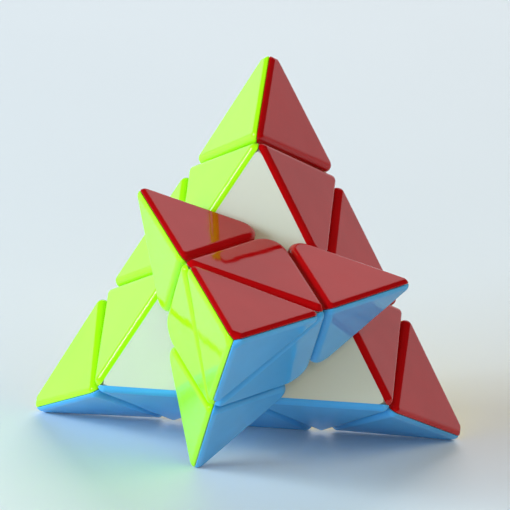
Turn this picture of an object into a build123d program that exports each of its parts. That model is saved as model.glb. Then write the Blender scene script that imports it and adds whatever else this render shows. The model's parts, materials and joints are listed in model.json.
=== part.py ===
from build123d import *

import os
from math import atan2, cos, radians, sin, sqrt, tan

# ---------------------------------------------------------------- driving sizes (mm, degrees)
EDGE_LENGTH = 98.0  # edge of the tetrahedron that the cuts divide in three
FACE_PROUD = 0.70  # how far the outer faces stand outside that tetrahedron
TIP_SHORT = 0.45  # how far the cut under a tip lies outside an even third
FRONT_TURN = 44.6  # how far the front layer stands turned about its own corner axis
TIP_TURNS = {"top": -2.1, "left": -3.1, "right": 2.4, "front": -1.4}  # small turns of the tips
PIECE_GAP = 0.35  # clear gap between neighbouring pieces
SHELL_SEAM = 0.08  # gap between two coloured shells of one piece

TIP_ROUND = 1.65  # ball rounding of tips and edge pieces
TIP_BLUNT = 1.1  # how far the point of a tip is cut back before it is rounded
TIP_SHELL = 2.8  # thickness of the coloured shells on tips and edge pieces
AXIAL_ROUND = 1.45  # ball rounding of the axial pieces
AXIAL_SHELL = 1.3  # thickness of the coloured shells on axial pieces
EDGE_INNER_ROUND = 4.0  # rounding of the edge piece along its innermost edge
AXIAL_INNER_ROUND = 4.9  # rounding of the axial piece where three of them meet on a face
RIM_ROUND = 0.2  # rounding of each coloured shell along its rim
BODY_RIDGE_ROUND = 1.2  # rounding of the white bodies under the meeting shells
SHELL_SPARE = 1.0  # extra depth a shell is grown with before its inside is cut flat

FOOT_INNER = 12.15  # spherical feet of the edge pieces run between these two radii
FOOT_OUTER = 16.8
HOLLOW_RADIUS = 17.1  # spherical hollow under the axial pieces that holds the feet in
CHANNEL_ANGLE = 78.0  # half angle of the conical channel each layer turns in
CHANNEL_CLEAR = 0.2  # clearance kept on each side of the channel cone
CHANNEL_START = 1.0  # the cone is cut off this far from its point

BALL_RADIUS = 9.2  # centre ball of the core
COLLAR_RADIUS = 4.6  # flat seat on the core under each axial stem
COLLAR_TOP = 11.0
PIN_RADIUS = 3.4  # round pin of the core that each axial piece turns on
PIN_TOP = 17.0
BORE_CLEAR = 0.05  # running clearance on round fits
SEAT_CLEAR = 0.1  # clearance between the stem and its seat on the core
STEM_ANGLE = 30.5  # half angle of the conical stem under the axial piece
STEM_TOP = 18.5  # the stem runs this far out, into the body of the axial piece
FLOOR_BOTTOM = 17.2  # floor of the axial pocket that the spring presses on
FLOOR_TOP = 19.2
SCREW_HOLE = 2.0
POCKET_RADIUS = 4.6
TUBE_RADIUS = 5.45  # snap tube of a tip, turning in the top of the axial piece
TUBE_INNER = 4.3
TUBE_BOTTOM = 26.8
TUBE_TOP = 38.0
TUBE_CLEAR = 0.4  # gap under the end of the snap tube
BEAD_RADIUS = 5.9
BEAD_HEIGHT = 28.2
BEAD_HALF = 0.6
GROOVE_RADIUS = 6.2
GROOVE_HALF = 1.0

SCREW_RADIUS = 1.5
SCREW_END = 5.0
POINT_GAP = 0.3  # gap between the screw's end and the bottom of its bore
POINT_LENGTH = 1.0
POINT_STEP = 0.5  # how much thinner the screw is at its end
HEAD_RADIUS = 3.6
HEAD_BOTTOM = 26.2
HEAD_TOP = 28.2
HEAD_ROUND = (1.4, 1.0)  # width and height of the rounding on the screw head
CROSS_LENGTH = 3.4
CROSS_WIDTH = 0.7
CROSS_DEPTH = 1.1
WASHER_RADIUS = 4.2
WASHER_HOLE = 1.9
WASHER_BOTTOM = 19.25
WASHER_TOP = 19.75
SPRING_RADIUS = 2.9  # mean coil radius
WIRE_RADIUS = 0.35
SPRING_TURNS = 4.5
SPRING_CLEAR = 0.02

# ---------------------------------------------------------------- lengths that follow
CORNER_REACH = EDGE_LENGTH * sqrt(6) / 4  # centre to sharp corner
FACE_REACH = CORNER_REACH / 3 + FACE_PROUD  # centre to outer face
POINT_REACH = 3 * (FACE_REACH - TIP_ROUND)  # centre to the point where the set-back faces meet
LAYER_CUT = CORNER_REACH / 9  # centre to the cut under a layer
TIP_CUT = CORNER_REACH * 5 / 9 + TIP_SHORT  # centre to the cut under a tip
BLANK = 3 * EDGE_LENGTH  # oversize block that pieces are cut from


def corner_direction(azimuth):
    """Unit direction of one of the three lower corners of a tetrahedron standing on its face."""
    flat = 2 * sqrt(2) / 3
    return Vector(flat * cos(radians(azimuth)), flat * sin(radians(azimuth)), -1 / 3)


# Corner directions of the puzzle before the stance is applied; the front corner is the z axis.
CORNERS = {
    "top": corner_direction(90),
    "left": corner_direction(210),
    "right": corner_direction(330),
    "front": Vector(0, 0, 1),
}
# Colour of the face opposite each corner
OPPOSITE_COLOUR = {"top": "blue", "left": "red", "right": "lime", "front": "yellow"}

# Directions inside a template: its own corner is +z, the next corner leans to +y.
OWN = Vector(0, 0, 1)
NEXT = corner_direction(90)
MINUS_X = corner_direction(210)
PLUS_X = corner_direction(330)
OTHERS = [NEXT, MINUS_X, PLUS_X]


def keep_below(direction, reach):
    """Cut the solid being built at a plane and keep the side towards the centre."""
    split(bisect_by=Plane(origin=direction * reach, z_dir=direction), keep=Keep.BOTTOM)


def keep_above(direction, reach):
    """Cut the solid being built at a plane and keep the side away from the centre."""
    split(bisect_by=Plane(origin=direction * reach, z_dir=direction), keep=Keep.TOP)


# ---------------------------------------------------------------- outer forms
# Each form is a sharp solid set back by its full rounding, then grown by a ball.  A smaller
# ball gives the slim form, the same piece set back evenly all round.
def tip_form(ball):
    """Rounded small tetrahedron at a corner."""
    with BuildPart() as form:
        Box(BLANK, BLANK, BLANK)
        keep_above(OWN, TIP_CUT + PIECE_GAP / 2 + TIP_ROUND)
        for other in OTHERS:
            keep_below(-other, FACE_REACH - TIP_ROUND)
        keep_below(OWN, POINT_REACH - TIP_BLUNT)
        offset(amount=ball, kind=Kind.ARC)
    return form.part


def axial_form(ball):
    """Rounded octahedron under a tip, with well rounded corners at the face centres."""
    with BuildPart() as form:
        Box(BLANK, BLANK, BLANK)
        for other in OTHERS:
            keep_below(other, LAYER_CUT - PIECE_GAP / 2 - AXIAL_ROUND)
        keep_above(OWN, LAYER_CUT + PIECE_GAP / 2 + AXIAL_ROUND)
        for other in OTHERS:
            lateral = edges().filter_by(Axis((0, 0, 0), OWN - other)).sort_by(Axis((0, 0, 0), -other))
            fillet(lateral[-1], radius=AXIAL_INNER_ROUND - AXIAL_ROUND)
        keep_below(OWN, TIP_CUT - PIECE_GAP / 2 - AXIAL_ROUND)
        for other in OTHERS:
            keep_below(-other, FACE_REACH - AXIAL_ROUND)
        offset(amount=ball, kind=Kind.ARC)
    return form.part


def edge_form(ball):
    """Rounded small tetrahedron in the middle of a long edge."""
    with BuildPart() as form:
        Box(BLANK, BLANK, BLANK)
        keep_above(OWN, LAYER_CUT + PIECE_GAP / 2 + TIP_ROUND)
        keep_above(NEXT, LAYER_CUT + PIECE_GAP / 2 + TIP_ROUND)
        inner = edges().filter_by(Axis((0, 0, 0), PLUS_X - MINUS_X)).sort_by(Axis((0, 0, 0), OWN + NEXT))
        fillet(inner[0], radius=EDGE_INNER_ROUND - TIP_ROUND)
        keep_below(-MINUS_X, FACE_REACH - TIP_ROUND)
        keep_below(-PLUS_X, FACE_REACH - TIP_ROUND)
        offset(amount=ball, kind=Kind.ARC)
    return form.part


# ---------------------------------------------------------------- coloured shells
def shell_of(slim_form, thickness, face, neighbours):
    """Shell on the face opposite one corner, mitred against the neighbouring shells.

    The slim form stands back by the rim rounding, so growing the cut piece by that ball
    brings its outside to full size and softens the rim along the mitres.
    """
    with BuildPart() as shell:
        add(slim_form)
        keep_above(-face, FACE_REACH - thickness - SHELL_SPARE)
        for neighbour in neighbours:
            keep_above((neighbour - face).normalized(), SHELL_SEAM / 2 + RIM_ROUND)
        offset(amount=RIM_ROUND, kind=Kind.ARC)
        keep_above(-face, FACE_REACH - thickness)
    return shell.part


# ---------------------------------------------------------------- white bodies
def outermost_ridge(first, second):
    """Edge of the solid being built that lies under the long edge between two corners."""
    along = edges().filter_by(Axis((0, 0, 0), first - second))
    return along.sort_by(Axis((0, 0, 0), first + second))[-1]


def tip_body(form):
    """White base of a tip with its snap tube."""
    with BuildPart() as body:
        add(form)
        for other in OTHERS:
            keep_below(-other, FACE_REACH - TIP_SHELL)
        with BuildSketch(Plane.XZ):
            with BuildLine():
                Line((0, TUBE_BOTTOM), (TUBE_RADIUS, TUBE_BOTTOM))
                Line((TUBE_RADIUS, TUBE_BOTTOM), (TUBE_RADIUS, BEAD_HEIGHT - BEAD_HALF))
                ThreePointArc(
                    (TUBE_RADIUS, BEAD_HEIGHT - BEAD_HALF),
                    (BEAD_RADIUS, BEAD_HEIGHT),
                    (TUBE_RADIUS, BEAD_HEIGHT + BEAD_HALF),
                )
                Line((TUBE_RADIUS, BEAD_HEIGHT + BEAD_HALF), (TUBE_RADIUS, TIP_CUT + 1))
                Line((TUBE_RADIUS, TIP_CUT + 1), (0, TIP_CUT + 1))
                Line((0, TIP_CUT + 1), (0, TUBE_BOTTOM))
            make_face()
        revolve(axis=Axis.Z)
        with Locations((0, 0, TUBE_BOTTOM)):
            Cylinder(
                TUBE_INNER,
                TUBE_TOP - TUBE_BOTTOM,
                align=(Align.CENTER, Align.CENTER, Align.MIN),
                mode=Mode.SUBTRACT,
            )
    return body.part


def axial_body(form):
    """White body of an axial piece: spherical hollow, conical stem, stepped bore for pin and tip."""
    stem_bottom = COLLAR_TOP + SEAT_CLEAR
    slope = tan(radians(STEM_ANGLE))
    pin_bore = PIN_RADIUS + BORE_CLEAR
    tube_bore = TUBE_RADIUS + BORE_CLEAR
    with BuildPart() as body:
        add(form)
        for other in OTHERS:
            keep_below(-other, FACE_REACH - AXIAL_SHELL)
        for other in OTHERS:
            fillet(outermost_ridge(OWN, other), radius=BODY_RIDGE_ROUND)
        Sphere(HOLLOW_RADIUS, mode=Mode.SUBTRACT)
        with BuildSketch(Plane.XZ):
            with BuildLine():
                Polyline(
                    (0, stem_bottom),
                    (stem_bottom * slope, stem_bottom),
                    (STEM_TOP * slope, STEM_TOP),
                    (0, STEM_TOP),
                    close=True,
                )
            make_face()
        revolve(axis=Axis.Z)
        with BuildSketch(Plane.XZ):
            with BuildLine():
                Polyline(
                    (0, stem_bottom - 1),
                    (pin_bore, stem_bottom - 1),
                    (pin_bore, FLOOR_BOTTOM),
                    (SCREW_HOLE, FLOOR_BOTTOM),
                    (SCREW_HOLE, FLOOR_TOP),
                    (POCKET_RADIUS, FLOOR_TOP),
                    (POCKET_RADIUS, TUBE_BOTTOM - TUBE_CLEAR),
                    (tube_bore, TUBE_BOTTOM - TUBE_CLEAR),
                    (tube_bore, BEAD_HEIGHT - GROOVE_HALF),
                    (GROOVE_RADIUS, BEAD_HEIGHT - GROOVE_HALF),
                    (GROOVE_RADIUS, BEAD_HEIGHT + GROOVE_HALF),
                    (tube_bore, BEAD_HEIGHT + GROOVE_HALF),
                    (tube_bore, TIP_CUT + 1),
                    (0, TIP_CUT + 1),
                    close=True,
                )
            make_face()
        revolve(axis=Axis.Z, mode=Mode.SUBTRACT)
    return body.part


def channel_cone(direction, shift, mode):
    """Keep or cut the inside of a layer's channel cone, its point shifted along the layer's axis."""
    slope = tan(radians(CHANNEL_ANGLE))
    height = 1.3 * FOOT_OUTER
    away = direction * direction.dot(NEXT + OWN) - (NEXT + OWN)
    with Locations(Plane(origin=direction * (CHANNEL_START + shift), x_dir=away, z_dir=direction)):
        Cone(
            CHANNEL_START * slope,
            (CHANNEL_START + height) * slope,
            height,
            align=(Align.CENTER, Align.CENTER, Align.MIN),
            mode=mode,
        )


def edge_foot():
    """Spherical foot that slides in the channels of the two layers an edge piece belongs to."""
    with BuildPart() as foot:
        Sphere(FOOT_OUTER, rotation=(0, 90, 0))
        Sphere(FOOT_INNER, rotation=(0, 90, 0), mode=Mode.SUBTRACT)
        channel_cone(OWN, CHANNEL_CLEAR, Mode.INTERSECT)
        channel_cone(NEXT, CHANNEL_CLEAR, Mode.INTERSECT)
        channel_cone(MINUS_X, -CHANNEL_CLEAR, Mode.SUBTRACT)
        channel_cone(PLUS_X, -CHANNEL_CLEAR, Mode.SUBTRACT)
    return foot.part


def edge_body(form, foot):
    """White body of an edge piece with its foot."""
    with BuildPart() as body:
        add(form)
        keep_below(-MINUS_X, FACE_REACH - TIP_SHELL)
        keep_below(-PLUS_X, FACE_REACH - TIP_SHELL)
        fillet(outermost_ridge(OWN, NEXT), radius=BODY_RIDGE_ROUND)
        Sphere(FOOT_INNER, mode=Mode.SUBTRACT)
        add(foot)
    return body.part


# ---------------------------------------------------------------- core and fasteners
def core_part():
    """Ball with four seats and pins, bored for the screws."""
    upright = (Align.CENTER, Align.CENTER, Align.MIN)
    with BuildPart() as core:
        Sphere(BALL_RADIUS)
        for direction in CORNERS.values():
            with Locations(Plane(origin=(0, 0, 0), z_dir=direction)):
                Cylinder(COLLAR_RADIUS, COLLAR_TOP, align=upright)
                Cylinder(PIN_RADIUS, PIN_TOP, align=upright)
        for direction in CORNERS.values():
            with Locations(Plane(origin=direction * SCREW_END, z_dir=direction)):
                Cylinder(SCREW_RADIUS, PIN_TOP, align=upright, mode=Mode.SUBTRACT)
    return core.part


def screw_template():
    """Pan head screw standing on the z axis with its head outwards."""
    end = SCREW_END + POINT_GAP
    with BuildPart() as screw:
        with BuildSketch(Plane.XZ):
            with BuildLine():
                Polyline(
                    (HEAD_RADIUS - HEAD_ROUND[0], HEAD_TOP),
                    (0, HEAD_TOP),
                    (0, end),
                    (SCREW_RADIUS - POINT_STEP, end),
                    (SCREW_RADIUS, end + POINT_LENGTH),
                    (SCREW_RADIUS, HEAD_BOTTOM),
                    (HEAD_RADIUS, HEAD_BOTTOM),
                    (HEAD_RADIUS, HEAD_TOP - HEAD_ROUND[1]),
                )
                ThreePointArc(
                    (HEAD_RADIUS, HEAD_TOP - HEAD_ROUND[1]),
                    (HEAD_RADIUS - 0.36 * HEAD_ROUND[0], HEAD_TOP - 0.3 * HEAD_ROUND[1]),
                    (HEAD_RADIUS - HEAD_ROUND[0], HEAD_TOP),
                )
            make_face()
        revolve(axis=Axis.Z)
        with BuildSketch(Plane.XY.offset(HEAD_TOP)):
            Rectangle(CROSS_LENGTH, CROSS_WIDTH)
            Rectangle(CROSS_WIDTH, CROSS_LENGTH)
        extrude(amount=-CROSS_DEPTH, mode=Mode.SUBTRACT)
    return screw.part


def washer_template():
    """Flat ring between the spring and the floor of the axial pocket."""
    with BuildPart() as washer:
        with BuildSketch(Plane.XY.offset(WASHER_BOTTOM)):
            Circle(WASHER_RADIUS)
            Circle(WASHER_HOLE, mode=Mode.SUBTRACT)
        extrude(amount=WASHER_TOP - WASHER_BOTTOM)
    return washer.part


def spring_template():
    """Compression spring around the screw, between washer and screw head."""
    bottom = WASHER_TOP + WIRE_RADIUS + SPRING_CLEAR
    top = HEAD_BOTTOM - WIRE_RADIUS - SPRING_CLEAR
    with BuildPart() as spring:
        with BuildLine() as path:
            Helix(pitch=(top - bottom) / SPRING_TURNS, height=top - bottom, radius=SPRING_RADIUS,
                  center=(0, 0, bottom))
        with BuildSketch(Plane(origin=path.line @ 0, z_dir=path.line % 0)):
            Circle(WIRE_RADIUS)
        sweep(path=path.line, is_frenet=True)
    return spring.part


# ---------------------------------------------------------------- places
def corner_plane(corner, towards):
    """Frame at the centre: z out through one corner, y leaning to a second corner."""
    return Plane(origin=(0, 0, 0), x_dir=CORNERS[towards].cross(CORNERS[corner]), z_dir=CORNERS[corner])


def corner_on_minus_x(corner, towards):
    """Name of the corner that lies on the negative x side of a corner frame."""
    side = corner_plane(corner, towards).x_dir
    names = [name for name in CORNERS if name not in (corner, towards)]
    return min(names, key=lambda name: CORNERS[name].dot(side))


def point_balls(corner):
    """Ball centres at the blunt point of a tip, one under each of its long edges."""
    own = CORNERS[corner]
    turn_axis = Axis((0, 0, 0), own)
    others = [CORNERS[name] for name in CORNERS if name != corner]
    straight = [own * POINT_REACH + (other - own) * (TIP_BLUNT * 3 / 4) for other in others]
    return [ball.rotate(turn_axis, TIP_TURNS[corner]) for ball in straight]


def stance_location():
    """Place of the puzzle standing on two of its tips and one corner of the turned layer.

    The floor touches the rounded points of the left and right tips and the rounded lower
    corner of the edge piece between front and left.  All are rolled with the same ball, so
    the floor is parallel to the plane through the three ball centres.
    """
    point_height = TIP_ROUND - FACE_REACH
    point_flat = sqrt(2) * point_height
    corner_height = LAYER_CUT + PIECE_GAP / 2 + TIP_ROUND
    corner_flat = (FACE_REACH - TIP_ROUND - corner_height / 3) * 3 / sqrt(2)
    corner_forward = corner_flat * sin(radians(210 + FRONT_TURN))
    lean = atan2(point_flat - corner_forward, corner_height - point_height)
    up = Vector(0, cos(lean), sin(lean))
    forward = Vector(0, sin(lean), -cos(lean))
    balls = [ball for corner in CORNERS for ball in point_balls(corner)]
    corner_ball = Vector(0, corner_forward, corner_height)
    floor = min(ball.dot(up) for ball in [*balls, corner_ball]) - TIP_ROUND
    middle = (min(ball.dot(forward) for ball in balls) + max(ball.dot(forward) for ball in balls)) / 2
    frame = Plane(
        origin=(0, -middle, -floor),
        x_dir=(1, 0, 0),
        z_dir=(0, -cos(lean), sin(lean)),
    )
    return frame.location


STANCE = stance_location()
TURNED = STANCE * Location((0, 0, 0), (0, 0, FRONT_TURN))


def place_for(*corners):
    """Stance of a piece; everything that touches the front corner stands in the turned layer."""
    return TURNED if "front" in corners else STANCE


def put(template, places, label):
    """Place copies of a template, name the result and write its file."""
    with BuildPart() as piece:
        with Locations(*places):
            add(template)
    piece.part.label = label
    export_step(piece.part, f"parts/{label}.step")


# ---------------------------------------------------------------- whole puzzle
os.makedirs("parts", exist_ok=True)

tip_white = tip_body(tip_form(TIP_ROUND))
axial_white = axial_body(axial_form(AXIAL_ROUND))
edge_white = edge_body(edge_form(TIP_ROUND), edge_foot())
tip_slim = tip_form(TIP_ROUND - RIM_ROUND)
axial_slim = axial_form(AXIAL_ROUND - RIM_ROUND)
edge_slim = edge_form(TIP_ROUND - RIM_ROUND)
tip_colour = shell_of(tip_slim, TIP_SHELL, NEXT, [MINUS_X, PLUS_X])
axial_colour = shell_of(axial_slim, AXIAL_SHELL, NEXT, [MINUS_X, PLUS_X])
edge_colour = shell_of(edge_slim, TIP_SHELL, MINUS_X, [PLUS_X])

for corner in CORNERS:
    neighbours = [name for name in CORNERS if name != corner]
    stand = place_for(corner)
    tip_turn = Location((0, 0, 0), (0, 0, TIP_TURNS[corner]))
    own_place = stand * corner_plane(corner, neighbours[0]).location
    put(tip_white, [own_place * tip_turn], f"tip_{corner}_base")
    put(axial_white, [own_place], f"axial_{corner}_body")
    for neighbour in neighbours:
        shell_place = stand * corner_plane(corner, neighbour).location
        colour = OPPOSITE_COLOUR[neighbour]
        put(tip_colour, [shell_place * tip_turn], f"tip_{corner}_{colour}")
        put(axial_colour, [shell_place], f"axial_{corner}_{colour}")

names = list(CORNERS)
pairs = [(a, b) for a in names for b in names if names.index(a) < names.index(b)]
for first, second in pairs:
    stand = place_for(first, second)
    edge_name = f"edge_{first}_{second}"
    put(edge_white, [stand * corner_plane(first, second).location], f"{edge_name}_body")
    for corner, towards in ((first, second), (second, first)):
        colour = OPPOSITE_COLOUR[corner_on_minus_x(corner, towards)]
        put(edge_colour, [stand * corner_plane(corner, towards).location], f"{edge_name}_{colour}")

arms = [STANCE * Plane(origin=(0, 0, 0), z_dir=direction).location for direction in CORNERS.values()]
put(core_part(), [STANCE], "core")
put(screw_template(), arms, "screws")
put(washer_template(), arms, "washers")
put(spring_template(), arms, "springs")
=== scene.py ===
"""Looks of the pyramid puzzle: glossy coloured shells over milky white bodies on a pale table."""

import json
import math

import bpy
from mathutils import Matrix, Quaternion, Vector

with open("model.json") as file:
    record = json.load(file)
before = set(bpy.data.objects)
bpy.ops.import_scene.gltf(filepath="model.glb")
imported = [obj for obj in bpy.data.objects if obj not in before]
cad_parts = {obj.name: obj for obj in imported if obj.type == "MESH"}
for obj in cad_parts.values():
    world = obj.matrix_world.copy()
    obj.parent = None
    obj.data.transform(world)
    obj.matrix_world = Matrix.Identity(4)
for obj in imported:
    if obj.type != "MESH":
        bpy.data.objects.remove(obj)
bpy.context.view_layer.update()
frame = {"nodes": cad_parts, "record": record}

# Camera: a long lens a little above the table, looking past the front tip
CAMERA_AZIMUTH = math.radians(3.19)
CAMERA_ELEVATION = math.radians(19.10)
CAMERA_ROLL = math.radians(2.794)
CAMERA_DISTANCE = 1.681
CAMERA_TARGET = Vector((0.00119, 0.0, 0.04915))
CAMERA_LENS = 542.4
SENSOR_WIDTH = 36.0

# Soft lights that fill the shadows: compass angle from the back, height angle, watts, colour
SOFT_LIGHTS = {
    "back_window": (0.0, 12.0, 30.0, (1.0, 0.96, 0.98)),
    "left_fill": (232.0, 18.0, 24.0, (0.56, 0.81, 1.0)),
    "right_fill": (112.0, 42.0, 8.5, (1.0, 0.86, 0.55)),
    "front_fill": (182.0, 35.0, 5.5, (0.93, 0.95, 1.0)),
}
SOFT_SIZE = 1.0
LIGHT_DISTANCE = 1.6
LIGHT_AIM = Vector((0.0, 0.0, 0.04))

# Window that glints along the bevels
WINDOW_DIRECTION = Vector((-0.87, -0.26, 0.43))
WINDOW_SIZE = 0.50
WINDOW_POWER = 15.0
WINDOW_COLOUR = (0.75, 0.93, 1.0)

# Room seen in the gloss: a pale wall behind the table and a high window above it
HIGH_WINDOW_DIRECTION = Vector((0.17, 0.83, 0.53)).normalized()
HIGH_WINDOW_GLOW = 0.84
DARK_ROOM = (0.04, 0.04, 0.045)
PALE_WALL = (1.07, 1.10, 1.12)

PLASTIC_IOR = 1.45
TABLE_SIZE = 6.0


# ------------------------------------------------------------------ node helpers
def new_material(name):
    """Empty node material and its Principled shader."""
    material = bpy.data.materials.new(name)
    material.use_nodes = True
    nodes = material.node_tree.nodes
    return material, nodes, material.node_tree.links, nodes["Principled BSDF"]


def own_place(nodes):
    """Point in the piece's own frame, which rides with the piece when its joint turns."""
    return nodes.new("ShaderNodeTexCoord").outputs["Object"]


def noise(nodes, links, place, scale, detail=3.0, roughness=0.5):
    """Noise at a place. Pieces lie at different places at rest, so each has its own stretch of it."""
    node = nodes.new("ShaderNodeTexNoise")
    node.inputs["Scale"].default_value = scale
    node.inputs["Detail"].default_value = detail
    node.inputs["Roughness"].default_value = roughness
    links.new(place, node.inputs["Vector"])
    return node.outputs["Fac"]


def ramp(nodes, links, value, low, high, out_low=0.0, out_high=1.0, smooth=False):
    """Value remapped and clamped."""
    node = nodes.new("ShaderNodeMapRange")
    if smooth:
        node.interpolation_type = "SMOOTHSTEP"
    node.inputs["From Min"].default_value = low
    node.inputs["From Max"].default_value = high
    node.inputs["To Min"].default_value = out_low
    node.inputs["To Max"].default_value = out_high
    links.new(value, node.inputs["Value"])
    return node.outputs["Result"]


def combine(nodes, links, operation, first, second):
    """Result of a math node on two values."""
    node = nodes.new("ShaderNodeMath")
    node.operation = operation
    links.new(first, node.inputs[0])
    links.new(second, node.inputs[1])
    return node.outputs["Value"]


def mix_colour(nodes, links, factor, first, second):
    """Blend of two colours, each a tuple or a socket."""
    node = nodes.new("ShaderNodeMix")
    node.data_type = "RGBA"
    links.new(factor, node.inputs["Factor"])
    for socket, value in ((node.inputs[6], first), (node.inputs[7], second)):
        if isinstance(value, tuple):
            socket.default_value = (*value, 1.0)
        else:
            links.new(value, socket)
    return node.outputs[2]


def bump(nodes, links, height, strength, distance):
    """Normal from a height."""
    node = nodes.new("ShaderNodeBump")
    node.inputs["Strength"].default_value = strength
    node.inputs["Distance"].default_value = distance
    links.new(height, node.inputs["Height"])
    return node.outputs["Normal"]


# ------------------------------------------------------------------ materials
def shell_plastic(name, deep, pale):
    """High-gloss coloured shell: pigment drift, polished skin, handling haze worn along the edges."""
    material, nodes, links, shader = new_material(name)
    geometry = nodes.new("ShaderNodeNewGeometry")
    place = own_place(nodes)
    drift = ramp(nodes, links, noise(nodes, links, place, 45.0), 0.35, 0.65)
    links.new(mix_colour(nodes, links, drift, deep, pale), shader.inputs["Base Color"])
    haze = ramp(nodes, links, noise(nodes, links, place, 320.0, 6.0, 0.7), 0.45, 0.8, 0.05, 0.12)
    worn = ramp(nodes, links, geometry.outputs["Pointiness"], 0.52, 0.62, 0.0, 0.04)
    links.new(combine(nodes, links, "ADD", haze, worn), shader.inputs["Roughness"])
    wave = noise(nodes, links, place, 110.0, 1.0)
    links.new(bump(nodes, links, wave, 0.35, 0.0002), shader.inputs["Normal"])
    shader.inputs["IOR"].default_value = PLASTIC_IOR
    return material


def milky_plastic(name):
    """Slightly translucent white body with a satin skin."""
    material, nodes, links, shader = new_material(name)
    place = own_place(nodes)
    cloud = ramp(nodes, links, noise(nodes, links, place, 30.0), 0.3, 0.7)
    tone = mix_colour(nodes, links, cloud, (0.70, 0.67, 0.53), (0.72, 0.69, 0.55))
    links.new(tone, shader.inputs["Base Color"])
    skin = ramp(nodes, links, noise(nodes, links, place, 500.0, 5.0, 0.6), 0.3, 0.7, 0.30, 0.38)
    links.new(skin, shader.inputs["Roughness"])
    grain = noise(nodes, links, place, 900.0, 3.0)
    links.new(bump(nodes, links, grain, 0.04, 0.0001), shader.inputs["Normal"])
    shader.inputs["IOR"].default_value = PLASTIC_IOR
    shader.inputs["Subsurface Weight"].default_value = 0.15
    shader.inputs["Subsurface Radius"].default_value = (1.0, 0.9, 0.7)
    shader.inputs["Subsurface Scale"].default_value = 0.001
    return material


def core_plastic(name):
    """Plain nylon of the core."""
    material, nodes, links, shader = new_material(name)
    place = own_place(nodes)
    cloud = ramp(nodes, links, noise(nodes, links, place, 200.0), 0.3, 0.7)
    tone = mix_colour(nodes, links, cloud, (0.70, 0.71, 0.68), (0.78, 0.79, 0.76))
    links.new(tone, shader.inputs["Base Color"])
    skin = ramp(nodes, links, noise(nodes, links, place, 700.0), 0.3, 0.7, 0.4, 0.55)
    links.new(skin, shader.inputs["Roughness"])
    return material


def steel(name, tone, roughness):
    """Zinc-plated or drawn steel with fine machining grain."""
    material, nodes, links, shader = new_material(name)
    place = own_place(nodes)
    cloud = ramp(nodes, links, noise(nodes, links, place, 800.0), 0.3, 0.7)
    darker = tuple(0.8 * part for part in tone)
    links.new(mix_colour(nodes, links, cloud, darker, tone), shader.inputs["Base Color"])
    skin = ramp(
        nodes, links, noise(nodes, links, place, 2500.0), 0.3, 0.7, roughness - 0.06, roughness + 0.08
    )
    links.new(skin, shader.inputs["Roughness"])
    shader.inputs["Metallic"].default_value = 1.0
    return material


MATERIALS = {
    "lime_shell": shell_plastic("lime_gloss", (0.38, 0.82, 0.003), (0.41, 0.86, 0.005)),
    "red_shell": shell_plastic("red_gloss", (0.45, 0.001, 0.002), (0.51, 0.002, 0.003)),
    "blue_shell": shell_plastic("blue_gloss", (0.068, 0.39, 0.77), (0.082, 0.43, 0.83)),
    "yellow_shell": shell_plastic("yellow_gloss", (0.88, 0.68, 0.005), (0.93, 0.74, 0.010)),
    "white_body": milky_plastic("milky_white"),
    "core_plastic": core_plastic("core_nylon"),
    "screw_steel": steel("screw_zinc", (0.62, 0.63, 0.66), 0.28),
    "washer_steel": steel("washer_steel", (0.55, 0.55, 0.57), 0.34),
    "spring_steel": steel("spring_wire", (0.50, 0.50, 0.52), 0.25),
}


def dress_nodes():
    """Give every CAD piece the material of its slot."""
    for entry in frame["record"]["subparts"]:
        piece = frame["nodes"][entry["node"]]
        piece.data.materials.clear()
        piece.data.materials.append(MATERIALS[entry["material_slot"]])


# ------------------------------------------------------------------ stage, light, camera
def make_floor():
    """Pale table top that runs past the picture on every side."""
    bpy.ops.mesh.primitive_plane_add(size=TABLE_SIZE)
    floor = bpy.context.object
    floor.name = "table_top"
    material, nodes, links, shader = new_material("pale_table")
    place = own_place(nodes)
    cloud = ramp(nodes, links, noise(nodes, links, place, 6.0), 0.3, 0.7)
    tone = mix_colour(nodes, links, cloud, (0.715, 0.76, 0.79), (0.735, 0.78, 0.81))
    links.new(tone, shader.inputs["Base Color"])
    shader.inputs["Roughness"].default_value = 0.6
    floor.data.materials.append(material)


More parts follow.
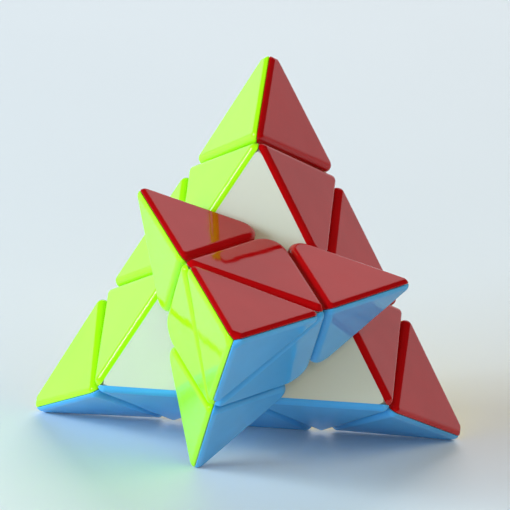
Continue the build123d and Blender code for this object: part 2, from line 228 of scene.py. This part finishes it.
def make_world():
    """Room seen in the gloss: a bright wall low behind the table, a window above it, dark elsewhere."""
    world = bpy.data.worlds.new("soft_room")
    bpy.context.scene.world = world
    world.use_nodes = True
    nodes = world.node_tree.nodes
    links = world.node_tree.links
    direction = nodes.new("ShaderNodeTexCoord").outputs["Generated"]
    split = nodes.new("ShaderNodeSeparateXYZ")
    links.new(direction, split.inputs["Vector"])
    below = ramp(nodes, links, split.outputs["Z"], 0.22, 0.32, 1.0, 0.0, smooth=True)
    ahead = ramp(nodes, links, split.outputs["Y"], 0.35, 0.50, smooth=True)
    side = ramp(nodes, links, split.outputs["X"], -0.6, 0.6, 0.95, 0.66)
    wall = combine(nodes, links, "MULTIPLY", combine(nodes, links, "MULTIPLY", below, ahead), side)
    towards = nodes.new("ShaderNodeVectorMath")
    towards.operation = "DOT_PRODUCT"
    towards.inputs[1].default_value = HIGH_WINDOW_DIRECTION
    links.new(direction, towards.inputs[0])
    spot = towards.outputs["Value"]
    window = ramp(nodes, links, spot, 0.950, 0.975, 0.0, HIGH_WINDOW_GLOW, smooth=True)
    glow = combine(nodes, links, "MAXIMUM", wall, window)
    tone = mix_colour(nodes, links, glow, DARK_ROOM, PALE_WALL)
    links.new(tone, nodes["Background"].inputs["Color"])


def area_light(name, place, size, power, colour):
    """Square light looking at the puzzle."""
    data = bpy.data.lights.new(name, "AREA")
    data.size = size
    data.energy = power
    data.color = colour
    light = bpy.data.objects.new(name, data)
    light.location = LIGHT_AIM + place
    light.rotation_euler = place.to_track_quat("Z", "Y").to_euler()
    bpy.context.collection.objects.link(light)
    return light


def make_lights():
    """Soft lights kept out of the gloss, and one small window that gives the fine highlights."""
    for name, (compass, height, power, colour) in SOFT_LIGHTS.items():
        flat = LIGHT_DISTANCE * math.cos(math.radians(height))
        place = Vector((
            flat * math.sin(math.radians(compass)),
            flat * math.cos(math.radians(compass)),
            LIGHT_DISTANCE * math.sin(math.radians(height)),
        ))
        area_light(name, place, SOFT_SIZE, power, colour).visible_glossy = False
    place = LIGHT_DISTANCE * WINDOW_DIRECTION
    area_light("left_window", place, WINDOW_SIZE, WINDOW_POWER, WINDOW_COLOUR)


def make_camera():
    """Camera on the side of the front tip, turned slightly about its view line."""
    back = Vector((
        math.sin(CAMERA_AZIMUTH) * math.cos(CAMERA_ELEVATION),
        -math.cos(CAMERA_AZIMUTH) * math.cos(CAMERA_ELEVATION),
        math.sin(CAMERA_ELEVATION),
    ))
    data = bpy.data.cameras.new("view")
    data.lens = CAMERA_LENS
    data.sensor_width = SENSOR_WIDTH
    camera = bpy.data.objects.new("view", data)
    camera.location = CAMERA_TARGET + CAMERA_DISTANCE * back
    turn = back.to_track_quat("Z", "Y") @ Quaternion((0.0, 0.0, 1.0), CAMERA_ROLL)
    camera.rotation_mode = "QUATERNION"
    camera.rotation_quaternion = turn
    bpy.context.collection.objects.link(camera)
    bpy.context.scene.camera = camera


dress_nodes()
make_floor()
make_world()
make_lights()
make_camera()
bpy.context.scene.view_settings.view_transform = "Standard"
